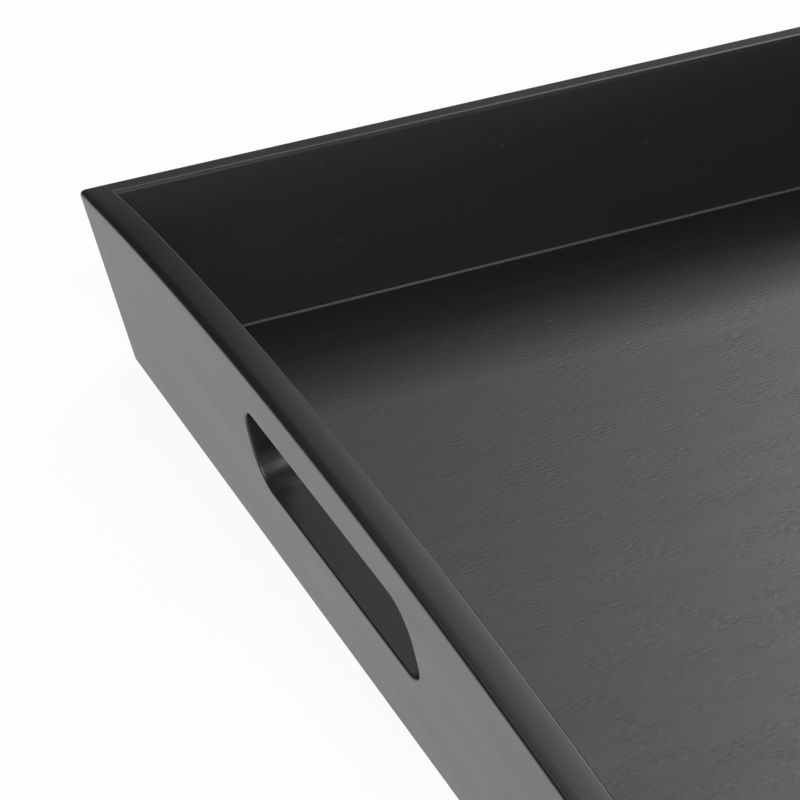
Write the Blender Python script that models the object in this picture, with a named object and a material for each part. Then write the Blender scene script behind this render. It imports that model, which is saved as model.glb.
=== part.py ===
"""A serving tray in black-stained bamboo, as its maker builds it.

Four boards lean outward and meet in compound mitres. The two short boards rise in an arch over a
hand slot. A thin panel sits in a groove round the inside of the boards, and a loose spline, a flat
tongue of bamboo, is hidden across each mitre.

Metres, +Z up. The origin is on the surface that the tray stands on, under its centre. X runs along
the long side, Y along the short side.
"""

from math import cos, pi, sin, tan

import bmesh
import bpy
from mathutils import Matrix, Vector

# Overall size, outside the boards, at the outer edge of the rim
TRAY_LENGTH = 0.500
TRAY_WIDTH = 0.353
RIM_HEIGHT = 0.0518
HANDLE_RISE = 0.0128

# Boards
BOARD_THICKNESS = 0.0086
LEAN_ANGLE = 9.4 * pi / 180
RIM_OUTER_EASE = 0.0011
RIM_INNER_EASE = 0.0012
CORNER_EASE = 0.0023
FOOT_EASE = 0.0011

# Base panel and the groove that holds it
FLOOR_HEIGHT = 0.0061
PANEL_THICKNESS = 0.0032
GROOVE_DEPTH = 0.0036
PANEL_CORNER_RADIUS = 0.0020
PANEL_ARRIS = 0.0004

# Hand slot in each short board, measured in the plane of the board
GRIP_BAR = 0.0147
SLOT_LENGTH = 0.1004
SLOT_HEIGHT = 0.0234
SLOT_CORNER_RADIUS = 0.0088
SLOT_EASE = 0.0006

# Loose spline hidden across each mitre
SPLINE_LENGTH = 0.0260
SPLINE_WIDTH = 0.0080
SPLINE_THICKNESS = 0.0020
SPLINE_DEPTH_SHARE = 0.68
SPLINE_HEIGHT_SHARE = 0.50

# Clearance between two pieces that fit together
FIT_GAP = 0.0003

# How finely curves are divided
ARCH_STEPS = 24
EASE_STEPS = 3
CORNER_STEPS = 4
SLOT_CORNER_STEPS = 8
SPLINE_END_STEPS = 8

# Worked out from the sizes above
SPREAD = tan(LEAN_ANGLE)
WALL_ACROSS = BOARD_THICKNESS / cos(LEAN_ANGLE)
RIM_TILT_HEIGHT = BOARD_THICKNESS * sin(LEAN_ANGLE)
FOOT_HALF_LENGTH = TRAY_LENGTH / 2 - RIM_HEIGHT * SPREAD
FOOT_HALF_WIDTH = TRAY_WIDTH / 2 - RIM_HEIGHT * SPREAD
PANEL_MIDDLE = FLOOR_HEIGHT - PANEL_THICKNESS / 2

# Each side of the tray: the way it faces, the way along it, and the rise of its rim. They go round
# the tray, so that one side ends where the next one starts.
SIDES = {
    "left": (Vector((-1, 0, 0)), Vector((0, -1, 0)), HANDLE_RISE),
    "front": (Vector((0, -1, 0)), Vector((1, 0, 0)), 0),
    "right": (Vector((1, 0, 0)), Vector((0, 1, 0)), HANDLE_RISE),
    "rear": (Vector((0, 1, 0)), Vector((-1, 0, 0)), 0),
}
BOARD_NAMES = {
    "left": "left_handle_board",
    "front": "front_side_board",
    "right": "right_handle_board",
    "rear": "rear_side_board",
}
CORNERS = {
    "rear_left": ("rear", "left"),
    "front_left": ("left", "front"),
    "front_right": ("front", "right"),
    "rear_right": ("right", "rear"),
}


def clear_scene():
    for item in list(bpy.data.objects):
        bpy.data.objects.remove(item, do_unlink=True)


def make_material(name, colour, roughness):
    material = bpy.data.materials.new(name)
    material.use_nodes = True
    shader = material.node_tree.nodes["Principled BSDF"]
    shader.inputs["Base Color"].default_value = (*colour, 1)
    shader.inputs["Roughness"].default_value = roughness
    shader.inputs["Metallic"].default_value = 0
    return material


def board_finish():
    return make_material("black_stained_board", (0.022, 0.022, 0.023), 0.40)


def panel_finish():
    return make_material("black_stained_panel", (0.024, 0.024, 0.025), 0.45)


def spline_finish():
    return make_material("raw_bamboo", (0.55, 0.39, 0.20), 0.70)


def make_object(name, mesh_builder, material=None):
    mesh = bpy.data.meshes.new(name)
    mesh_builder.to_mesh(mesh)
    mesh_builder.free()
    item = bpy.data.objects.new(name, mesh)
    bpy.context.collection.objects.link(item)
    if material:
        mesh.materials.append(material)
        mesh.shade_smooth()
        mesh.set_sharp_from_angle(angle=pi / 5)
    return item


def as_cutter(item):
    item.hide_render = True
    item.display_type = "WIRE"
    return item


def cut(board, cutter):
    modifier = board.modifiers.new(cutter.name, "BOOLEAN")
    modifier.operation = "DIFFERENCE"
    modifier.solver = "EXACT"
    modifier.object = cutter


def wall_point(side, share, height, depth):
    """A point on a wall: share runs from -1 to 1 along it, depth is level, inward from outside."""
    facing, along, _ = SIDES[side]
    out_half, run_half = FOOT_HALF_LENGTH, FOOT_HALF_WIDTH
    if facing.x == 0:
        out_half, run_half = run_half, out_half
    reach = height * SPREAD - depth
    return facing * (out_half + reach) + along * share * (run_half + reach) + Vector((0, 0, height))


def rim_height(side, share):
    rise = SIDES[side][2]
    return RIM_HEIGHT + rise * (1 - share * share)


def outer_rim_point(side, share):
    return wall_point(side, share, rim_height(side, share), 0)


def inner_rim_point(side, share):
    """The rim is square to the board, so its inner edge is the higher one."""
    return wall_point(side, share, rim_height(side, share) + RIM_TILT_HEIGHT, WALL_ACROSS)


def rim_shares(side):
    """The shares at which a side's rim has points, without the last, which the next side makes."""
    steps = ARCH_STEPS if SIDES[side][2] else 1
    return [2 * step / steps - 1 for step in range(steps)]


def edges_between(mesh_builder, is_first, is_second):
    """The edges that have a face of one kind on one hand and a face of another on the other."""
    found = []
    for edge in mesh_builder.edges:
        first, second = edge.link_faces
        if is_first(first) and is_second(second) or is_first(second) and is_second(first):
            found.append(edge)
    return found


def faces_up(face):
    return face.normal.z > cos(pi / 6)


def faces_down(face):
    return face.normal.z < -cos(pi / 6)


def is_upright(face):
    return abs(face.normal.z) < sin(pi / 6)


def is_outer_wall(face):
    centre = face.calc_center_median()
    return is_upright(face) and face.normal.x * centre.x + face.normal.y * centre.y > 0


def is_inner_wall(face):
    return is_upright(face) and not is_outer_wall(face)


def round_edges(mesh_builder, edges, radius, steps):
    bmesh.ops.bevel(
        mesh_builder,
        geom=edges,
        offset=radius,
        offset_type="OFFSET",
        segments=steps,
        profile=0.5,
        affect="EDGES",
        material=-1,
        clamp_overlap=True,
    )
    mesh_builder.normal_update()


def build_wall_ring():
    """All four walls as one closed ring, with its rim, corners and feet eased."""
    ring = bmesh.new()
    names = list(SIDES)
    outer_rims, inner_rims, outer_feet, inner_feet = {}, {}, {}, {}
    for name in names:
        shares = rim_shares(name)
        outer_rims[name] = [ring.verts.new(outer_rim_point(name, share)) for share in shares]
        inner_rims[name] = [ring.verts.new(inner_rim_point(name, share)) for share in shares]
        outer_feet[name] = ring.verts.new(wall_point(name, -1, 0, 0))
        inner_feet[name] = ring.verts.new(wall_point(name, -1, 0, WALL_ACROSS))
    for name, following in zip(names, names[1:] + names[:1]):
        outer_rim = outer_rims[name] + outer_rims[following][:1]
        inner_rim = inner_rims[name] + inner_rims[following][:1]
        outer_foot = [outer_feet[name], outer_feet[following]]
        inner_foot = [inner_feet[name], inner_feet[following]]
        ring.faces.new(outer_foot + outer_rim[::-1])
        ring.faces.new(inner_foot[::-1] + inner_rim)
        ring.faces.new(outer_foot[::-1] + inner_foot)
        for step in range(len(outer_rim) - 1):
            ring.faces.new((outer_rim[step], outer_rim[step + 1], inner_rim[step + 1], inner_rim[step]))
    bmesh.ops.recalc_face_normals(ring, faces=ring.faces[:])
    ring.normal_update()
    uprights = [ring.edges.get((outer_feet[name], outer_rims[name][0])) for name in names]
    round_edges(ring, uprights, CORNER_EASE, CORNER_STEPS)
    round_edges(ring, edges_between(ring, faces_up, is_outer_wall), RIM_OUTER_EASE, EASE_STEPS)
    round_edges(ring, edges_between(ring, faces_up, is_inner_wall), RIM_INNER_EASE, EASE_STEPS)
    round_edges(ring, edges_between(ring, faces_down, is_outer_wall), FOOT_EASE, EASE_STEPS)
    return ring


def mitre_frame(first, second):
    """A corner's mitre plane: its foot point, its level normal, and its direction up the corner."""
    facing_first = SIDES[first][0]
    facing_second = SIDES[second][0]
    foot = wall_point(second, -1, 0, 0)
    normal = (facing_second - facing_first).normalized()
    upward = (facing_first + facing_second) * SPREAD + Vector((0, 0, 1))
    return foot, normal, upward.normalized()


def slice_off(piece, foot, normal):
    """Cuts a mesh on a plane, drops what the normal points to, and closes the cut."""
    geometry = piece.verts[:] + piece.edges[:] + piece.faces[:]
    result = bmesh.ops.bisect_plane(
        piece, geom=geometry, dist=FIT_GAP / 1000, plane_co=foot, plane_no=normal, clear_outer=True
    )
    cut_edges = [item for item in result["geom_cut"] if isinstance(item, bmesh.types.BMEdge)]
    bmesh.ops.edgenet_fill(piece, edges=cut_edges)
    piece.normal_update()


def build_board(side, ring, material):
    """One side's board: the stretch of the ring between its two mitres."""
    board = ring.copy()
    for first, second in CORNERS.values():
        if side not in (first, second):
            continue
        foot, normal, _ = mitre_frame(first, second)
        away = normal if side == first else -normal
        slice_off(board, foot - away * FIT_GAP / 2, away)
    bmesh.ops.recalc_face_normals(board, faces=board.faces[:])
    return make_object(BOARD_NAMES[side], board, material)


def panel_half_sizes(clearance):
    """Half the panel's length and width, reaching into the grooves."""
    reach = PANEL_MIDDLE * SPREAD - WALL_ACROSS + GROOVE_DEPTH + clearance
    return FOOT_HALF_LENGTH + reach, FOOT_HALF_WIDTH + reach


def build_slab(half_length, half_width, thickness):
    """A flat slab round the origin, with round corners."""
    slab = bmesh.new()
    size = Matrix.Diagonal((2 * half_length, 2 * half_width, thickness, 1))
    bmesh.ops.create_cube(slab, size=1, matrix=size)
    slab.normal_update()
    uprights = [edge for edge in slab.edges if all(is_upright(face) for face in edge.link_faces)]
    round_edges(slab, uprights, PANEL_CORNER_RADIUS, CORNER_STEPS)
    return slab


def build_base_panel(material):
    half_length, half_width = panel_half_sizes(-FIT_GAP)
    slab = build_slab(half_length, half_width, PANEL_THICKNESS)
    long_edges = edges_between(slab, faces_up, is_upright) + edges_between(slab, faces_down, is_upright)
    round_edges(slab, long_edges, PANEL_ARRIS, 1)
    panel = make_object("base_panel", slab, material)
    panel.location.z = PANEL_MIDDLE
    return panel


def build_groove_cutter():
    half_length, half_width = panel_half_sizes(0)
    slab = build_slab(half_length, half_width, PANEL_THICKNESS + 2 * FIT_GAP)
    cutter = as_cutter(make_object("groove_cutter", slab))
    cutter.location.z = PANEL_MIDDLE
    return cutter


def rounded_outline(half_length, half_height, radius, steps):
    """The points of a rectangle with round corners, anticlockwise.

    Where the radius is half the length, the ends are half circles, which share their top point.
    """
    straight_top = half_length > radius
    points = []
    for quarter in range(4):
        sign_x = 1 if quarter in (0, 3) else -1
        sign_y = 1 if quarter in (0, 1) else -1
        centre_x = sign_x * (half_length - radius)
        centre_y = sign_y * (half_height - radius)
        first_step = 0 if straight_top or quarter in (0, 2) else 1
        for step in range(first_step, steps + 1):
            angle = (quarter + step / steps) * pi / 2
            points.append((centre_x + radius * cos(angle), centre_y + radius * sin(angle)))
    return points


def loft_outlines(outlines):
    """A closed solid through outlines given as (level, points), from the lowest up."""
    solid = bmesh.new()
    loops = []
    for level, points in outlines:
        loops.append([solid.verts.new((x, y, level)) for x, y in points])
    for lower, upper in zip(loops, loops[1:]):
        for step in range(len(lower)):
            after = (step + 1) % len(lower)
            solid.faces.new((lower[step], lower[after], upper[after], upper[step]))
    solid.faces.new(loops[0][::-1])
    solid.faces.new(loops[-1])
    bmesh.ops.recalc_face_normals(solid, faces=solid.faces[:])
    return solid


def slot_flare():
    """How a slot opens towards a face of the board: (distance from mid-board, widening) pairs.

    The points follow a quarter circle, and the last one carries its line on past the face.
    """
    half_board = BOARD_THICKNESS / 2
    flare = []
    for step in range(EASE_STEPS + 1):
        angle = step / EASE_STEPS * pi / 2
        level = half_board - SLOT_EASE * (1 - sin(angle))
        flare.append((level, SLOT_EASE * (1 - cos(angle))))
    (level_before, wide_before), (level_last, wide_last) = flare[-2:]
    pitch = (wide_last - wide_before) / (level_last - level_before)
    flare[-1] = (level_last + SLOT_EASE, wide_last + SLOT_EASE * pitch)
    return flare


def build_slot_cutter(side):
    """A hand slot with rounded-over edges, set square to its board."""
    facing, along, _ = SIDES[side]
    flare = slot_flare()
    outlines = []
    for level, widening in [(-level, wide) for level, wide in flare[::-1]] + flare:
        radius = SLOT_CORNER_RADIUS + widening
        half_length = SLOT_LENGTH / 2 + widening
        half_height = SLOT_HEIGHT / 2 + widening
        outlines.append((level, rounded_outline(half_length, half_height, radius, SLOT_CORNER_STEPS)))
    cutter = as_cutter(make_object(side + "_slot_cutter", loft_outlines(outlines)))
    up_board = Vector((0, 0, cos(LEAN_ANGLE))) + facing * sin(LEAN_ANGLE)
    through = along.cross(up_board)
    slope_height = rim_height(side, 0) / cos(LEAN_ANGLE) - GRIP_BAR - SLOT_HEIGHT / 2
    face_foot = wall_point(side, 0, 0, 0)
    inward = through if through.dot(facing) < 0 else -through
    centre = face_foot + up_board * slope_height + inward * BOARD_THICKNESS / 2
    cutter.matrix_world = placed(centre, along, up_board, through)
    return cutter


def placed(centre, x_axis, y_axis, z_axis):
    turn = Matrix((x_axis, y_axis, z_axis)).transposed().to_4x4()
    return Matrix.Translation(centre) @ turn


def spline_place(corner):
    """Where a spline lies: across the mitre, along the corner, nearer the inside than the outside."""
    foot, normal, upward = mitre_frame(*CORNERS[corner])
    flat_way = normal.cross(upward)
    inner_foot = wall_point(CORNERS[corner][1], -1, 0, WALL_ACROSS)
    mitre_width = (inner_foot - foot).dot(flat_way)
    lowest = FLOOR_HEIGHT + FIT_GAP
    height = lowest + (RIM_HEIGHT - lowest) * SPLINE_HEIGHT_SHARE
    on_edge = foot + upward * (height / upward.z)
    centre = on_edge + flat_way * mitre_width * SPLINE_DEPTH_SHARE
    return placed(centre, normal, upward, flat_way)


def build_spline_solid(clearance):
    """A flat spline with half-round ends: width across the mitre, length up the corner."""
    half_width = SPLINE_WIDTH / 2 + clearance
    half_length = SPLINE_LENGTH / 2 + clearance
    half_thick = SPLINE_THICKNESS / 2 + clearance
    outline = rounded_outline(half_width, half_length, half_width, SPLINE_END_STEPS)
    return loft_outlines([(-half_thick, outline), (half_thick, outline)])


def build_spline(corner, material):
    spline = make_object("mitre_spline_" + corner, build_spline_solid(0), material)
    spline.matrix_world = spline_place(corner)
    return spline


def build_spline_cutter(corner):
    cutter = as_cutter(make_object(corner + "_spline_cutter", build_spline_solid(FIT_GAP)))
    cutter.matrix_world = spline_place(corner)
    return cutter


def main():
    clear_scene()
    board_material = board_finish()
    spline_material = spline_finish()
    ring = build_wall_ring()
    boards = {side: build_board(side, ring, board_material) for side in SIDES}
    ring.free()
    build_base_panel(panel_finish())
    groove_cutter = build_groove_cutter()
    for side, board in boards.items():
        cut(board, groove_cutter)
        if SIDES[side][2]:
            cut(board, build_slot_cutter(side))
    for corner, sides in CORNERS.items():
        build_spline(corner, spline_material)
        spline_cutter = build_spline_cutter(corner)
        for side in sides:
            cut(boards[side], spline_cutter)


main()
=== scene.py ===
# %% [markdown]
# # A black bamboo serving tray
# The tray has four boards that lean outward and meet in mitres, a thin panel for its floor, and a
# hand slot under the arched rim of each short end. All of it is bamboo, and all that shows is
# stained black and sprayed with a satin lacquer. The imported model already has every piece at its
# real size, so this lesson starts from it, rebuilds the boards with finer roundings, and gives each
# surface its finish.

from math import cos, pi, radians, sin, sqrt, tan

import bmesh
import bpy
from mathutils import Euler, Matrix, Vector


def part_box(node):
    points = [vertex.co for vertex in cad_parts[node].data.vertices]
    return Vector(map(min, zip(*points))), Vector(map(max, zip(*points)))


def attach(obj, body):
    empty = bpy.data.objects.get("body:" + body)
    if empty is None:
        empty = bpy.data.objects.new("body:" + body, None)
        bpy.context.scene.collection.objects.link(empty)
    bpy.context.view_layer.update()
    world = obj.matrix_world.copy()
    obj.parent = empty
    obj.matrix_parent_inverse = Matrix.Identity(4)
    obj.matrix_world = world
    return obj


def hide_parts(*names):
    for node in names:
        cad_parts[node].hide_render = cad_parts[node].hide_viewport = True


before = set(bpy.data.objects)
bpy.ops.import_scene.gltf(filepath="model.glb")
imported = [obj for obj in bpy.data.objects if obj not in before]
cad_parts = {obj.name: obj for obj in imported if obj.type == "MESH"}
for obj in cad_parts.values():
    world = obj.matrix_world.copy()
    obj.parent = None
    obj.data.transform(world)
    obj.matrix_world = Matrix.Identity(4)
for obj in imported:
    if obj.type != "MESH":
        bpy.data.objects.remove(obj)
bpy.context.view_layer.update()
print("pieces in the frame:", ", ".join(sorted(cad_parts)))

# %% [markdown]
# ## Sizes
# A maker would write these on the drawing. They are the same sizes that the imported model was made
# with. What is worked out from them, such as how far the foot is drawn in by the lean of the
# boards, is worked out here once, in metres.

# %% The tray's sizes
TRAY_LENGTH, TRAY_WIDTH = 0.500, 0.353
RIM_HEIGHT = 0.0518
HANDLE_RISE = 0.0128
BOARD_THICKNESS = 0.0086
LEAN = radians(9.4)
FLOOR_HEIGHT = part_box("base_panel")[1].z
FIT_GAP = 0.0003

SPREAD = tan(LEAN)
WALL_ACROSS = BOARD_THICKNESS / cos(LEAN)
FOOT_LENGTH = TRAY_LENGTH - 2 * RIM_HEIGHT * SPREAD
FOOT_WIDTH = TRAY_WIDTH - 2 * RIM_HEIGHT * SPREAD
print("foot, mm:", round(FOOT_LENGTH * 1000, 1), "x", round(FOOT_WIDTH * 1000, 1))

# %% [markdown]
# ## The ring of walls
# On the real tray each board is planed, mitred and glued, and then all four are sanded as one, so
# the roundings run on round the corners. It is modelled in that order: one ring first, with its
# edges rounded, which is then sawn at the mitres. A box is drawn in at its foot to make the lean.
# Insets that also rise leave a rim cut square to the leaning boards, in strips that are crowned
# later. An extrusion down to the foot then opens the inside. Lofting four boards one by one would
# leave the corners to be matched.

# %% A leaning ring from a box
OUTER_STRIP_SHARE, INNER_STRIP_SHARE, MIDDLE_STRIPS = 0.19, 0.19, 6
MIDDLE_SHARE = 1 - OUTER_STRIP_SHARE - INNER_STRIP_SHARE
RIM_LINES = [0] + [
    OUTER_STRIP_SHARE + MIDDLE_SHARE * line / MIDDLE_STRIPS for line in range(MIDDLE_STRIPS + 1)
] + [1]
TOLERANCE = BOARD_THICKNESS / 100


def highest_face(mesh):
    return max(mesh.faces, key=lambda face: face.calc_center_median().z)


def lowest_faces(mesh):
    return [face for face in mesh.faces if abs(face.calc_center_median().z) < TOLERANCE]


def leaning_ring():
    ring = bmesh.new()
    bmesh.ops.create_cube(ring, size=1)
    bmesh.ops.scale(ring, verts=ring.verts, vec=(TRAY_LENGTH, TRAY_WIDTH, RIM_HEIGHT))
    bmesh.ops.translate(ring, verts=ring.verts, vec=(0, 0, RIM_HEIGHT / 2))
    foot = [corner for corner in ring.verts if corner.co.z < RIM_HEIGHT / 2]
    bmesh.ops.scale(ring, verts=foot, vec=(FOOT_LENGTH / TRAY_LENGTH, FOOT_WIDTH / TRAY_WIDTH, 1))

    inside = highest_face(ring)
    rim_across, rim_climb = BOARD_THICKNESS * cos(LEAN), BOARD_THICKNESS * sin(LEAN)
    for line, next_line in zip(RIM_LINES, RIM_LINES[1:]):
        bmesh.ops.inset_region(
            ring, faces=[inside], thickness=rim_across * (next_line - line),
            depth=rim_climb * (next_line - line), use_even_offset=True,
        )
    sunk = bmesh.ops.extrude_face_region(ring, geom=[inside])["geom"]
    bmesh.ops.delete(ring, geom=[inside], context="FACES_ONLY")
    sunk_corners = [item for item in sunk if isinstance(item, bmesh.types.BMVert)]
    bmesh.ops.translate(ring, verts=sunk_corners, vec=(0, 0, -RIM_HEIGHT - rim_climb))
    length_share = (FOOT_LENGTH / 2 - WALL_ACROSS) / (TRAY_LENGTH / 2 - rim_across)
    width_share = (FOOT_WIDTH / 2 - WALL_ACROSS) / (TRAY_WIDTH / 2 - rim_across)
    bmesh.ops.scale(ring, verts=sunk_corners, vec=(length_share, width_share, 1))

    bottoms = lowest_faces(ring)
    foot_edges = [edge for face in bottoms for edge in face.edges]
    bmesh.ops.delete(ring, geom=bottoms, context="FACES_ONLY")
    bmesh.ops.bridge_loops(ring, edges=foot_edges)
    bmesh.ops.recalc_face_normals(ring, faces=ring.faces)
    ring.normal_update()
    return ring


# %% [markdown]
# ## The arched ends
# Over each hand slot the rim rises in a long shallow arch, sawn with a template. The rim's lines
# along each short side are subdivided, and their points are lifted along a parabola. Each line has
# its own distance out, and a point's distance out, to a hundredth of a millimetre, tells how far its
# line reaches. A lifted point also moves outward and along, so that it stays in the plane of its
# leaning board.

# %% Lift the rim of the short sides
ARCH_CUTS = 47
HUNDREDTH_MILLIMETRE_DIGITS = 5


def distance_out(point):
    return round(abs(point.co.x), HUNDREDTH_MILLIMETRE_DIGITS)


def runs_across(edge):
    first, second = (corner.co for corner in edge.verts)
    near_rim = min(first.z, second.z) > RIM_HEIGHT - TOLERANCE
    return near_rim and abs(first.x - second.x) < TOLERANCE


def arch_the_ends(ring):
    rim_edges = [edge for edge in ring.edges if runs_across(edge)]
    corner_reach = {}
    for edge in rim_edges:
        for corner in edge.verts:
            corner_reach[distance_out(corner)] = abs(corner.co.y)
    made = bmesh.ops.subdivide_edges(ring, edges=rim_edges, cuts=ARCH_CUTS, use_grid_fill=True)
    for point in [item for item in made["geom_inner"] if isinstance(item, bmesh.types.BMVert)]:
        reach = corner_reach[distance_out(point)]
        share = point.co.y / reach
        gain = HANDLE_RISE * (1 - share * share)
        side = 1 if point.co.x > 0 else -1
        point.co += Vector((side * gain * SPREAD, share * gain * SPREAD, gain))
    ring.normal_update()
    return len(rim_edges)


# %% [markdown]
# ## Rounded edges
# Sanding leaves small, even roundings: about 2 mm on the corners where two boards meet, and a
# little over 1 mm along both edges of the rim and along the foot. A bevel with many segments is the
# same cut. It goes on as geometry, because the highlights along these edges are what draws the tray
# in the photograph.

# %% Ease the ring's edges
CORNER_EASE, CORNER_SEGMENTS = 0.0023, 12
RIM_OUTER_EASE, RIM_INNER_EASE, RIM_SEGMENTS = 0.00125, 0.0013, 10
FOOT_EASE, FOOT_SEGMENTS = 0.0011, 6
LEVEL_WITHIN = radians(30)
ROUND_PROFILE = 0.5


def faces_up(face):
    return face.normal.z > cos(LEVEL_WITHIN)


def faces_down(face):
    return face.normal.z < -cos(LEVEL_WITHIN)


def is_upright(face):
    return abs(face.normal.z) < sin(LEVEL_WITHIN)


def is_outside(face):
    centre = face.calc_center_median()
    return is_upright(face) and face.normal.x * centre.x + face.normal.y * centre.y > 0


def is_inside(face):
    return is_upright(face) and not is_outside(face)


def edges_where(mesh, is_first, is_second):
    found = []
    for edge in mesh.edges:
        first, second = edge.link_faces
        if is_first(first) and is_second(second) or is_first(second) and is_second(first):
            found.append(edge)
    return found


def round_over(mesh, edges, radius, segments):
    bmesh.ops.bevel(
        mesh, geom=edges, offset=radius, offset_type="OFFSET", segments=segments,
        profile=ROUND_PROFILE, affect="EDGES", material=-1, clamp_overlap=True,
    )
    mesh.normal_update()


ring = leaning_ring()
print("rim edges arched:", arch_the_ends(ring))
round_over(ring, edges_where(ring, is_outside, is_outside), CORNER_EASE, CORNER_SEGMENTS)
round_over(ring, edges_where(ring, faces_up, is_outside), RIM_OUTER_EASE, RIM_SEGMENTS)
round_over(ring, edges_where(ring, faces_up, is_inside), RIM_INNER_EASE, RIM_SEGMENTS)
round_over(ring, edges_where(ring, faces_down, is_outside), FOOT_EASE, FOOT_SEGMENTS)

# %% [markdown]
# ## Crowned grips
# The arched rims are the grips, and they are shaped by hand. Their two edges are kept crisper than
# those of the side boards. Next to both the wood is taken down a little, more on the outside, and
# the middle stays high. The photograph suggests it: the rim is darkest in a strip along its outer
# edge, and grows paler towards the inside. A point belongs to a rounding if it lies less than the
# rounding's radius from the face, with 2 per cent to spare. Points move up, down or across their
# board, never along it, and the shaping runs out at the mitres, so that the corners still meet.

# %% Shape the grips
RIM_CROWN, CROWN_SUNK_SHARE = 0.00026, 0.65
OUTER_DROP, OUTER_DROP_SHARE = 0.00100, 0.20
INNER_DROP, INNER_DROP_SHARE = 0.00020, 0.25
OUTER_CRISPNESS, INNER_CRISPNESS = 0.30, 0.46
SHAPING_RUN_OUT = 0.015
ROUNDING_REACH = 1.02


def crown_height(share):
    outer = max(0, 1 - share / OUTER_DROP_SHARE)
    inner = max(0, 1 - (1 - share) / INNER_DROP_SHARE)
    crown = RIM_CROWN * (4 * share * (1 - share) - CROWN_SUNK_SHARE)
    return crown - OUTER_DROP * outer * outer - INNER_DROP * inner * inner


def rounding_drop(from_face, radius):
    from_end = radius - max(from_face, 0)
    return radius - sqrt(radius * radius - from_end * from_end)


def smooth_step(share):
    return share * share * (3 - 2 * share)


def shape_grips(ring):
    for point in ring.verts:
        side = 1 if point.co.x > 0 else -1
        from_mitre = abs(point.co.x) - abs(point.co.y) - (TRAY_LENGTH - TRAY_WIDTH) / 2
        if point.co.z < RIM_HEIGHT / 2 or from_mitre <= 0:
            continue
        inward = Vector((-side * cos(LEAN), 0, sin(LEAN)))
        up_board = Vector((side * sin(LEAN), 0, cos(LEAN)))
        from_outside = (point.co - Vector((side * FOOT_LENGTH / 2, 0, 0))).dot(inward)
        from_inside = BOARD_THICKNESS - from_outside
        fade = smooth_step(min(1, from_mitre / SHAPING_RUN_OUT))
        place = from_outside
        if from_outside < ROUNDING_REACH * RIM_OUTER_EASE:
            to_arris = up_board * rounding_drop(from_outside, RIM_OUTER_EASE) - inward * from_outside
            point.co += to_arris * fade * OUTER_CRISPNESS
            place = (1 - OUTER_CRISPNESS) * RIM_OUTER_EASE
        elif from_inside < ROUNDING_REACH * RIM_INNER_EASE:
            to_arris = up_board * rounding_drop(from_inside, RIM_INNER_EASE) + inward * from_inside
            point.co += to_arris * fade * INNER_CRISPNESS
            place = BOARD_THICKNESS - (1 - INNER_CRISPNESS) * RIM_INNER_EASE
        point.co += up_board * fade * crown_height(place / BOARD_THICKNESS)
    ring.normal_update()


shape_grips(ring)
print("ring:", len(ring.faces), "faces, volume", round(ring.calc_volume() * 1e6, 1), "cm3")

# %% [markdown]
# ## Hand slots, groove and splines
# The maker routs the hand slots with a template, rounds their edges over, and ploughs one groove
# round the inside for the floor panel. Blind slots in the mitres hold the splines. Each of these
# is a solid cutter here. The hand slot's cutter starts as a rounded prism as thick as the straight
# part of the slot. Its ends are then inset outwards, step by step, to follow a quarter round, and
# the last step runs on past the board, so that the cut comes out clean.

# %% Cutters
SLOT_LENGTH, SLOT_HEIGHT = 0.1004, 0.0234
SLOT_CORNER_RADIUS, SLOT_CORNER_SEGMENTS = 0.0088, 16
SLOT_EASE, SLOT_EASE_STEPS = 0.0006, 6
GRIP_BAR = 0.0147


def placed(centre, x_axis, y_axis, z_axis):
    return Matrix.Translation(centre) @ Matrix((x_axis, y_axis, z_axis)).transposed().to_4x4()


def block(size):
    mesh = bmesh.new()
    bmesh.ops.create_cube(mesh, size=1)
    bmesh.ops.scale(mesh, verts=mesh.verts, vec=size)
    mesh.normal_update()
    return mesh


def edges_along_z(mesh):
    return [edge for edge in mesh.edges if abs((edge.verts[0].co - edge.verts[1].co).z) > 0]


def slot_cutter(side):
    straight = BOARD_THICKNESS - 2 * SLOT_EASE
    cutter = block((SLOT_LENGTH, SLOT_HEIGHT, straight))
    round_over(cutter, edges_along_z(cutter), SLOT_CORNER_RADIUS, SLOT_CORNER_SEGMENTS)
    ends = [face for face in cutter.faces if faces_up(face) or faces_down(face)]
    wide = deep = 0
    for step in range(1, SLOT_EASE_STEPS + 1):
        angle = step / SLOT_EASE_STEPS * pi / 2
        widening, deepening = SLOT_EASE * (1 - cos(angle)) - wide, SLOT_EASE * sin(angle) - deep
        wide, deep = wide + widening, deep + deepening
        overrun = 1 + SLOT_EASE / deepening if step == SLOT_EASE_STEPS else 1
        for end in ends:
            bmesh.ops.inset_region(
                cutter, faces=[end], thickness=-widening * overrun, depth=deepening * overrun,
                use_even_offset=True,
            )
    along, up_board = Vector((0, 1, 0)), Vector((side * sin(LEAN), 0, cos(LEAN)))
    inward = Vector((-side * cos(LEAN), 0, sin(LEAN)))
    climb = (RIM_HEIGHT + HANDLE_RISE) / cos(LEAN) - GRIP_BAR - SLOT_HEIGHT / 2
    foot = Vector((side * FOOT_LENGTH / 2, 0, 0))
    centre = foot + up_board * climb + inward * BOARD_THICKNESS / 2
    bmesh.ops.transform(
        cutter, verts=cutter.verts, matrix=placed(centre, along, up_board, along.cross(up_board))
    )
    return cutter


def groove_cutter():
    low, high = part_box("base_panel")
    cutter = block(high - low + 2 * Vector((FIT_GAP, FIT_GAP, FIT_GAP)))
    bmesh.ops.translate(cutter, verts=cutter.verts, vec=(low + high) / 2)
    return cutter


# %% [markdown]
# ## Spline slots
# A spline is a flat tongue with half-round ends. Its slot is the same tongue, larger by the fit
# gap all round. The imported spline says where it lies, and its corner says how it is turned. Its
# ends are rounded by a hair less than half its width, because a full half leaves edges of no length.

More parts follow.
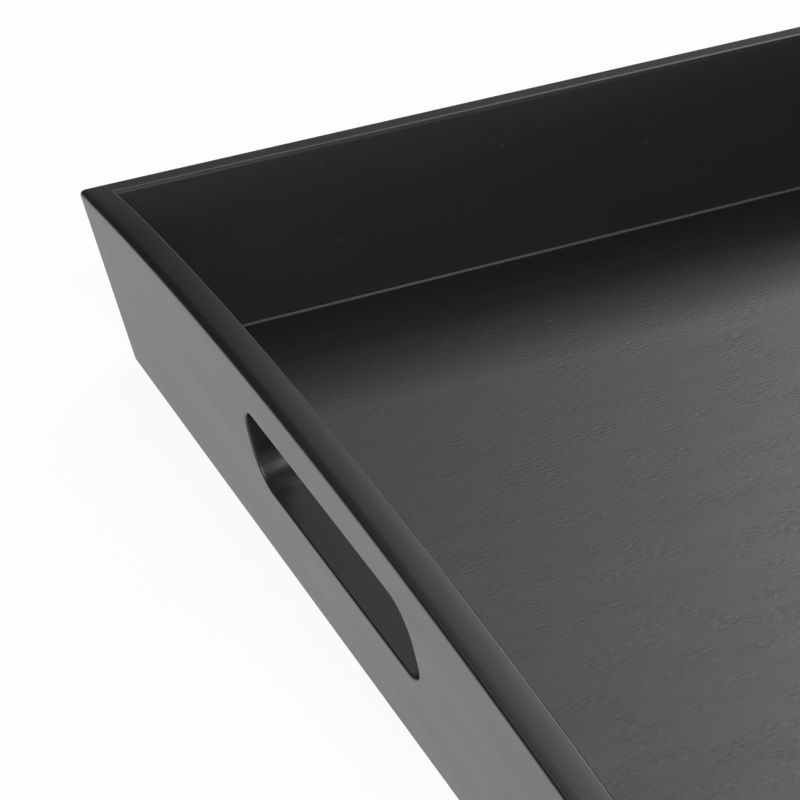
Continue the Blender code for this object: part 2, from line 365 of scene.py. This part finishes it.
# %% Spline slots
SPLINE_LENGTH, SPLINE_WIDTH, SPLINE_THICKNESS = 0.0260, 0.0080, 0.0020
SPLINE_END_SEGMENTS = 8
HAIR = FIT_GAP / 100


def spline_cutter(spline):
    low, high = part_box(spline)
    centre = (low + high) / 2
    side, end = (1 if centre.x > 0 else -1), (1 if centre.y > 0 else -1)
    across = Vector((side, -end, 0)).normalized()
    upward = Vector((side * SPREAD, end * SPREAD, 1)).normalized()
    grown = 2 * FIT_GAP
    cutter = block((SPLINE_WIDTH + grown, SPLINE_LENGTH + grown, SPLINE_THICKNESS + grown))
    end_radius = (SPLINE_WIDTH + grown) / 2 - HAIR
    round_over(cutter, edges_along_z(cutter), end_radius, SPLINE_END_SEGMENTS)
    bmesh.ops.transform(
        cutter, verts=cutter.verts, matrix=placed(centre, across, upward, across.cross(upward))
    )
    return cutter


# %% [markdown]
# ## The four boards
# The ring is sawn on the mitre planes, which stand upright on the diagonals of the corners. Each
# board keeps what lies between its two mitres, and its own hand slot, groove and spline slots are
# cut out of it. Cutting by Boolean is the nearest thing to a router. Normals weighted by the size
# of the faces keep the flat faces flat next to their roundings.

# %% Saw the ring and cut the boards
SMOOTH_UNDER = radians(30)
SAW_TOLERANCE = FIT_GAP / 1000
BOARDS = {
    "left_handle_board": ("left_handle_wall", Vector((-1, 0, 0))),
    "right_handle_board": ("right_handle_wall", Vector((1, 0, 0))),
    "front_side_board": ("front_side_wall", Vector((0, -1, 0))),
    "rear_side_board": ("rear_side_wall", Vector((0, 1, 0))),
}


def make_piece(name, mesh):
    data = bpy.data.meshes.new(name)
    mesh.to_mesh(data)
    mesh.free()
    piece = bpy.data.objects.new(name, data)
    bpy.context.collection.objects.link(piece)
    return piece


def saw_board(facing):
    board = ring.copy()
    foot = Vector((FOOT_LENGTH / 2, FOOT_WIDTH / 2, 0))
    along = Vector((-facing.y, facing.x, 0))
    for way in (-1, 1):
        corner = Vector((facing + along * way)) * foot
        away = (along * way - facing).normalized()
        everything = board.verts[:] + board.edges[:] + board.faces[:]
        sawn = bmesh.ops.bisect_plane(
            board, geom=everything, dist=SAW_TOLERANCE, plane_co=corner, plane_no=away,
            clear_outer=True,
        )
        mitre = [item for item in sawn["geom_cut"] if isinstance(item, bmesh.types.BMEdge)]
        bmesh.ops.edgenet_fill(board, edges=mitre)
    bmesh.ops.recalc_face_normals(board, faces=board.faces)
    return board


def cut_out(piece, cutters):
    tools = [make_piece("cutter", cutter) for cutter in cutters]
    for tool in tools:
        cut = piece.modifiers.new("cut", "BOOLEAN")
        cut.operation = "DIFFERENCE"
        cut.solver = "EXACT"
        cut.object = tool
    seen = piece.evaluated_get(bpy.context.evaluated_depsgraph_get())
    piece.data = bpy.data.meshes.new_from_object(seen)
    piece.modifiers.clear()
    for tool in tools:
        bpy.data.objects.remove(tool, do_unlink=True)


def smooth_roundings(piece):
    piece.data.shade_smooth()
    piece.data.set_sharp_from_angle(angle=SMOOTH_UNDER)
    weighting = piece.modifiers.new("flat faces", "WEIGHTED_NORMAL")
    weighting.keep_sharp = True


splines = sorted(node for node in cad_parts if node.startswith("mitre_spline"))
boards = {}
for node, (name, facing) in BOARDS.items():
    board = make_piece(name, saw_board(facing))
    board_corners = [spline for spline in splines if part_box(spline)[0].dot(facing) > 0]
    cutters = [groove_cutter()] + [spline_cutter(spline) for spline in board_corners]
    if facing.x:
        cutters.append(slot_cutter(facing.x))
    cut_out(board, cutters)
    smooth_roundings(board)
    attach(board, "root")
    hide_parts(node)
    boards[node] = board
    print(name, "has", len(board.data.polygons), "faces")
ring.free()

# %% [markdown]
# ## The seam round the floor
# Where the floor meets the walls, lacquer gathers in the corner and dries as a thin hollow bead.
# It catches the light, and shows in the photograph as one fine pale line. The bead is made from a
# sheet as large as the inside of the tray. Each inset takes its edge a step inward and down along
# a shallow hollow, which meets wall and floor at the same angle. Then the middle is taken out, and
# the back is closed.

# %% Lacquer bead
SEAM_SIZE, SEAM_CONTACT, SEAM_STEPS = 0.0005, radians(20), 6


def lacquer_seam():
    seam = bmesh.new()
    top = FLOOR_HEIGHT + SEAM_SIZE
    hollow_radius = SEAM_SIZE / (cos(SEAM_CONTACT) - sin(SEAM_CONTACT))
    half_length = FOOT_LENGTH / 2 + top * SPREAD - WALL_ACROSS
    half_width = FOOT_WIDTH / 2 + top * SPREAD - WALL_ACROSS
    bmesh.ops.create_grid(seam, x_segments=1, y_segments=1, size=1)
    bmesh.ops.scale(seam, verts=seam.verts, vec=(half_length, half_width, 1))
    bmesh.ops.translate(seam, verts=seam.verts, vec=(0, 0, top))
    middle = seam.faces[:][0]
    inward = down = 0
    for step in range(1, SEAM_STEPS + 1):
        angle = SEAM_CONTACT + step / SEAM_STEPS * (pi / 2 - 2 * SEAM_CONTACT)
        next_inward = hollow_radius * (cos(SEAM_CONTACT) - cos(angle))
        next_down = hollow_radius * (sin(angle) - sin(SEAM_CONTACT))
        bmesh.ops.inset_region(
            seam, faces=[middle], thickness=next_inward - inward, depth=down - next_down,
            use_even_offset=True, use_boundary=True,
        )
        inward, down = next_inward, next_down
    inner_edges = middle.edges[:]
    bmesh.ops.delete(seam, geom=[middle], context="FACES_ONLY")
    outer_edges = [edge for edge in seam.edges if edge.is_boundary and edge not in inner_edges]
    back = bmesh.ops.extrude_edge_only(seam, edges=outer_edges)["geom"]
    back_corners = [item for item in back if isinstance(item, bmesh.types.BMVert)]
    bmesh.ops.translate(seam, verts=back_corners, vec=(0, 0, -SEAM_SIZE))
    drawn_in = SEAM_SIZE * SPREAD
    shares = (1 - drawn_in / half_length, 1 - drawn_in / half_width, 1)
    bmesh.ops.scale(seam, verts=back_corners, vec=shares)
    back_edges = [item for item in back if isinstance(item, bmesh.types.BMEdge)]
    bmesh.ops.bridge_loops(seam, edges=back_edges + inner_edges)
    bmesh.ops.recalc_face_normals(seam, faces=seam.faces)
    if seam.calc_volume(signed=True) < 0:
        bmesh.ops.reverse_faces(seam, faces=seam.faces)
    return seam


seam = make_piece("lacquer_seam", lacquer_seam())
seam.data.shade_smooth()
seam.data.set_sharp_from_angle(angle=SMOOTH_UNDER)
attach(seam, "root")
print("seam runs round", [round(size * 1000, 1) for size in seam.dimensions], "mm")

# %% [markdown]
# ## Shader maths
# The finishes are worked out from noise, so their nodes are mostly arithmetic. A small class wraps
# a node's socket, and its plus, minus and times add Math nodes, so that a formula reads as one.
# Every other node comes from one method: its type, its settings, and what its sockets take.

# %% Sockets that add up
class Value:
    def __init__(self, finish, socket):
        self.finish, self.socket = finish, socket

    def maths(self, operation, first, second):
        return self.finish.node("ShaderNodeMath", {"operation": operation}, {0: first, 1: second})

    def __add__(self, other):
        return self.maths("ADD", self, other)

    def __sub__(self, other):
        return self.maths("SUBTRACT", self, other)

    def __rsub__(self, other):
        return self.maths("SUBTRACT", other, self)

    def __mul__(self, other):
        return self.maths("MULTIPLY", self, other)

    __radd__, __rmul__ = __add__, __mul__


class Finish:
    def __init__(self, name):
        self.material = bpy.data.materials.new(name)
        self.material.use_nodes = True
        self.tree = self.material.node_tree
        self.shader = self.tree.nodes["Principled BSDF"]

    def socket(self, sockets, key):
        if isinstance(key, int):
            return sockets[key]
        return next(socket for socket in sockets if socket.name == key and socket.enabled)

    def connect(self, target, value):
        if isinstance(value, Value):
            self.tree.links.new(value.socket, target)
        else:
            target.default_value = value

    def node(self, kind, settings, inputs, output=0):
        node = self.tree.nodes.new(kind)
        for name, value in settings.items():
            setattr(node, name, value)
        for key, value in inputs.items():
            self.connect(self.socket(node.inputs, key), value)
        return Value(self, self.socket(node.outputs, output))

    def colours(self, factor, first, second):
        first, second = [item if isinstance(item, Value) else (*item, 1) for item in (first, second)]
        inputs = {"Factor": factor, "A": first, "B": second}
        return self.node("ShaderNodeMix", {"data_type": "RGBA"}, inputs, "Result")

    def set(self, **inputs):
        for name, value in inputs.items():
            self.connect(self.shader.inputs[name.replace("_", " ")], value)


# %% [markdown]
# ## Bamboo grain
# Bamboo is a bundle of straight fibres. Under lacquer they show as faint short ridges along the
# board, about 2 mm long and less than 1 mm wide, which come in patches. Bare bamboo shows its open
# pores as well, as longer and thinner lines. Noise gives both: its coordinates are squeezed along
# the grain, so that each blot becomes a dash. Dust that settled in the wet film is a Voronoi
# texture cut off close to the points of its cells. The boards and the panel sit unturned at the
# origin, so Object coordinates are in metres, and the grain keeps its real size on every piece.

# %% Grain, pores and dust
MILLIMETRE = 0.001
FIBRE_LENGTH, FIBRE_WIDTH = 2.2 * MILLIMETRE, 0.8 * MILLIMETRE
PATCH_LENGTH, PATCH_WIDTH = 12 * MILLIMETRE, 6 * MILLIMETRE
PATCH_START, PATCH_FULL = 0.40, 0.62
PORE_LENGTH, PORE_WIDTH = 7 * MILLIMETRE, 0.45 * MILLIMETRE
PORE_START, PORE_FULL = 0.60, 0.74
STREAK_LENGTH, STREAK_WIDTH = 60 * MILLIMETRE, 10 * MILLIMETRE
DUST_SPACING, DUST_SIZE_SHARE = 12 * MILLIMETRE, 0.06


def stretched(finish, long_way, length, width, seed):
    """Noise coordinates in which one cell is that long along the grain and that wide across it."""
    scales = [1 / width] * 3
    scales["XYZ".index(long_way)] = 1 / length
    object_place = finish.node("ShaderNodeTexCoord", {}, {}, "Object")
    inputs = {"Vector": object_place, "Location": (seed, seed / 2, seed / 3), "Scale": scales}
    return finish.node("ShaderNodeMapping", {}, inputs)


def noise(finish, place, detail=1, roughness=0.5):
    inputs = {"Vector": place, "Scale": 1, "Detail": detail, "Roughness": roughness}
    return finish.node("ShaderNodeTexNoise", {}, inputs, "Fac")


def above(finish, value, start, end):
    settings = {"interpolation_type": "SMOOTHSTEP"}
    inputs = {"Value": value, "From Min": start, "From Max": end}
    return finish.node("ShaderNodeMapRange", settings, inputs)


def fibres(finish, long_way, seed):
    return noise(finish, stretched(finish, long_way, FIBRE_LENGTH, FIBRE_WIDTH, seed), detail=2)


def patches(finish, long_way, seed):
    blots = noise(finish, stretched(finish, long_way, PATCH_LENGTH, PATCH_WIDTH, seed))
    return above(finish, blots, PATCH_START, PATCH_FULL)


def pores(finish, long_way, seed):
    dashes = noise(finish, stretched(finish, long_way, PORE_LENGTH, PORE_WIDTH, seed), roughness=0.4)
    return above(finish, dashes, PORE_START, PORE_FULL)


def streaks(finish, long_way, seed):
    return noise(finish, stretched(finish, long_way, STREAK_LENGTH, STREAK_WIDTH, seed))


def dust(finish, seed):
    place = stretched(finish, "X", DUST_SPACING, DUST_SPACING, seed)
    distance = finish.node("ShaderNodeTexVoronoi", {}, {"Vector": place, "Scale": 1}, "Distance")
    return 1 - above(finish, distance, 0, DUST_SIZE_SHARE)


# %% [markdown]
# ## Black satin lacquer
# The stain is almost black and the lacquer over it is satin. What is seen is mostly the softened
# reflection of the room: pale where it meets a softbox or the white floor, near black where it
# meets the tray's own walls. So the roughness matters more than the colour. The fibres press
# through the film as tiny ridges, and make it a little duller or glossier. They show most on the
# panel, less on the side boards, and hardly at all on the handle boards, which are sanded more.
# The seam's base colour is paler than the rest: painted highlight, added to the highlight that the
# hollow bead catches in its reflections.

# %% Lacquer on the boards and on the panel
STAIN_DARK, STAIN_LIGHT = (0.0040, 0.0040, 0.0042), (0.0080, 0.0079, 0.0080)
# The seam's pale colours are painted highlight: they make the bead paler than the rest of the
# lacquer.
SEAM_PAINTED_HIGHLIGHT_DARK, SEAM_PAINTED_HIGHLIGHT_LIGHT = (0.036, 0.036, 0.036), (0.060, 0.060, 0.060)
DUST_GREY = (0.04, 0.04, 0.04)
TOP_COAT = 0.25
FIBRE_RELIEF, STREAK_RELIEF, DUST_RELIEF = 0.085 * MILLIMETRE, 0.10 * MILLIMETRE, 0.04 * MILLIMETRE
FIBRE_SHEEN, STREAK_SHEEN = 0.20, 0.08
NOISE_MIDDLE = 0.5
BETWEEN_PATCHES, IN_PATCHES = 0.4, 1.1
FIBRE_STAIN_SHARE, STREAK_STAIN_SHARE = 0.55, 0.35


def black_lacquer(name, long_way, seed, roughness, grain_share=1, stain_or_painted_highlight=(STAIN_DARK, STAIN_LIGHT)):
    finish = Finish(name)
    fine, broad = fibres(finish, long_way, seed), streaks(finish, long_way, seed)
    specks = dust(finish, seed)
    strength = BETWEEN_PATCHES + IN_PATCHES * patches(finish, long_way, seed)
    raised = (fine - NOISE_MIDDLE) * strength
    sheen = grain_share * FIBRE_SHEEN * raised + STREAK_SHEEN * (broad - NOISE_MIDDLE)
    # For the seam the two colours are painted highlight, for the boards and the panel they are the
    # stain.
    stain_or_highlight_colour = finish.colours(FIBRE_STAIN_SHARE * fine + STREAK_STAIN_SHARE * broad, *stain_or_painted_highlight)
    relief = FIBRE_RELIEF * raised + STREAK_RELIEF * broad + DUST_RELIEF * specks
    bump_inputs = {"Strength": 1, "Distance": grain_share, "Height": relief}
    finish.set(
        Base_Color=finish.colours(specks, stain_or_highlight_colour, DUST_GREY),
        Roughness=roughness + sheen,
        Normal=finish.node("ShaderNodeBump", {}, bump_inputs),
        Coat_Weight=TOP_COAT,
        Coat_Roughness=roughness,
    )
    return finish.material


lacquer_along_x = black_lacquer(
    "black_lacquer_long_boards", "X", seed=3.0, roughness=0.40, grain_share=0.35
)
lacquer_along_y = black_lacquer(
    "black_lacquer_handle_boards", "Y", seed=11.0, roughness=0.40, grain_share=0.2
)
panel_lacquer = black_lacquer("black_lacquer_panel", "X", seed=23.0, roughness=0.42)
# The seam's finish has a pale base colour, which is painted highlight on the bead.
seam_lacquer = black_lacquer(
    "black_lacquer_seam", "X", seed=31.0, roughness=0.34, grain_share=0.1,
    stain_or_painted_highlight=(SEAM_PAINTED_HIGHLIGHT_DARK, SEAM_PAINTED_HIGHLIGHT_LIGHT),
)

# %% [markdown]
# ## Raw bamboo
# The splines are hidden in the mitres and were never stained. They are the colour of straw, with
# darker lines of fibre along their length, which stands upright in the corners.

# %% Unstained bamboo
STRAW_PALE, STRAW_DARK = (0.60, 0.43, 0.23), (0.42, 0.27, 0.12)
FIBRE_SHADE, PORE_SHADE = 0.7, 0.6
SANDED_ROUGHNESS, FIBRE_ROUGHNESS = 0.66, 0.12
SANDED_RELIEF = 0.02 * MILLIMETRE


def raw_bamboo(seed):
    finish = Finish("unstained_bamboo")
    fine, open_pores = fibres(finish, "Z", seed), pores(finish, "Z", seed)
    shade = FIBRE_SHADE * fine + PORE_SHADE * open_pores
    bump_inputs = {"Strength": 1, "Distance": SANDED_RELIEF, "Height": fine - open_pores}
    finish.set(
        Base_Color=finish.colours(shade, STRAW_PALE, STRAW_DARK),
        Roughness=SANDED_ROUGHNESS + FIBRE_ROUGHNESS * fine,
        Normal=finish.node("ShaderNodeBump", {}, bump_inputs),
    )
    return finish.material


# %% [markdown]
# ## Dressing the pieces
# Grain runs along a board, so the handle boards, which lie across the tray, take the lacquer whose
# fibres run along Y, and the side boards the one whose fibres run along X. The seam, the panel and
# the splines each have their own finish.

# %% Dress every piece
def dress(piece, material):
    piece.data.materials.clear()
    piece.data.materials.append(material)
    print(piece.name, "is finished in", material.name)


for node, board in boards.items():
    dress(board, lacquer_along_y if "handle" in node else lacquer_along_x)
dress(seam, seam_lacquer)
dress(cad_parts["base_panel"], panel_lacquer)
straw = raw_bamboo(seed=47.0)
for spline in splines:
    dress(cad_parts[spline], straw)

# %% [markdown]
# ## The studio
# The photograph has a white background with no edge. The floor is white and wide, and for camera
# rays most of its light is a plain white glow, so that it stays white while it still takes the
# tray's soft shadow. The lacquer mirrors the same white floor, so its glow is there for glossy rays
# too. The world is white to the camera, and black to everything else.

# %% White floor and background
FLOOR_HALF_SIZE = 4.0
FLOOR_WHITE = (0.86, 0.86, 0.86, 1)
FLOOR_GLOW_SHARE = 0.92
PAPER_ROUGHNESS = 0.9


def white_floor():
    sheet = bmesh.new()
    bmesh.ops.create_grid(sheet, x_segments=1, y_segments=1, size=FLOOR_HALF_SIZE)
    floor = make_piece("white_floor", sheet)
    paper = Finish("white_paper")
    paper.set(Base_Color=FLOOR_WHITE, Roughness=PAPER_ROUGHNESS)
    seen = paper.node("ShaderNodeLightPath", {}, {}, "Is Camera Ray")
    mirrored = paper.node("ShaderNodeLightPath", {}, {}, "Is Glossy Ray")
    glow = paper.node("ShaderNodeEmission", {}, {"Color": (1, 1, 1, 1), "Strength": 1})
    share = FLOOR_GLOW_SHARE * (seen + mirrored)
    matt = Value(paper, paper.shader.outputs["BSDF"])
    blend = paper.node("ShaderNodeMixShader", {}, {0: share, 1: matt, 2: glow})
    paper.connect(paper.tree.nodes["Material Output"].inputs["Surface"], blend)
    dress(floor, paper.material)


def white_background():
    world = bpy.data.worlds.new("white_background")
    bpy.context.scene.world = world
    world.use_nodes = True
    path = world.node_tree.nodes.new("ShaderNodeLightPath")
    background = world.node_tree.nodes["Background"]
    background.inputs["Color"].default_value = (1, 1, 1, 1)
    world.node_tree.links.new(path.outputs["Is Camera Ray"], background.inputs["Strength"])


white_floor()
white_background()

# %% [markdown]
# ## Light
# Four level softboxes hang over the table. The tray's floor mirrors the two at the back right, the
# brighter one in its far half, and a weak one at the back left lifts its near side. The insides of
# the walls stay dark, because they mirror the floor of the tray. The fourth hangs over the front
# left, where no flat face mirrors it, and brings the light on the tray up to the level at which
# colours look as they are. Two cards stand upright far in front. The tall one lights the whole rear
# wall. The low one reaches only its upper part, over the front wall, so the wall is palest along
# its top.

# %% Softboxes and cards
def area_light(name, centre, width, depth, watts, tip=0):
    lamp = bpy.data.lights.new(name, "AREA")
    lamp.shape = "RECTANGLE"
    lamp.size, lamp.size_y = width, depth
    lamp.energy = watts
    holder = bpy.data.objects.new(name, lamp)
    holder.location = centre
    holder.rotation_euler.x = radians(tip)
    holder.visible_camera = False
    bpy.context.collection.objects.link(holder)
    print(name, "gives", round(watts / (width * depth), 1), "W per square metre")


area_light("back_right_softbox", centre=(1.8, 1.8, 1.6), width=1.2, depth=1.2, watts=37)
area_light("back_softbox", centre=(0.6, 1.2, 1.6), width=1.2, depth=2.4, watts=14.5)
area_light("back_left_softbox", centre=(-0.7, 1.05, 1.85), width=0.9, depth=0.9, watts=3.6)
area_light("front_left_softbox", centre=(-1.2, -1.8, 1.6), width=2.4, depth=1.2, watts=113)
area_light("front_card", centre=(0.46, -2.1, 0.34), width=1.2, depth=0.6, watts=3.2, tip=90)
area_light("low_front_card", centre=(0.46, -2.1, 0.07), width=1.6, depth=0.12, watts=2.6, tip=90)

# %% [markdown]
# ## Camera
# The camera's place, turn and focal length were fitted, together with the tray's proportions, to
# its edges in the photograph: the rim, the foot, the seam round the floor and the hand slot. The
# scale follows from a hand slot for four fingers and from the usual thickness of the boards. The
# camera stands near the left front, looks down at the rear left corner, and has a long lens.

# %% Camera
SENSOR_WIDTH = 36.0
FOCAL_LENGTH = 130.29
CAMERA_PLACE = (-0.43834, -0.52606, 0.40730)
CAMERA_TURN = Euler((radians(59.267), radians(2.672), radians(-23.396)))

lens = bpy.data.cameras.new("camera")
lens.sensor_width = SENSOR_WIDTH
lens.lens = FOCAL_LENGTH
camera = bpy.data.objects.new("camera", lens)
camera.location = CAMERA_PLACE
camera.rotation_euler = CAMERA_TURN
bpy.context.collection.objects.link(camera)
bpy.context.scene.camera = camera
bpy.context.scene.view_settings.view_transform = "Standard"
print("camera is", round(Vector(CAMERA_PLACE).length, 3), "m from the middle of the tray")
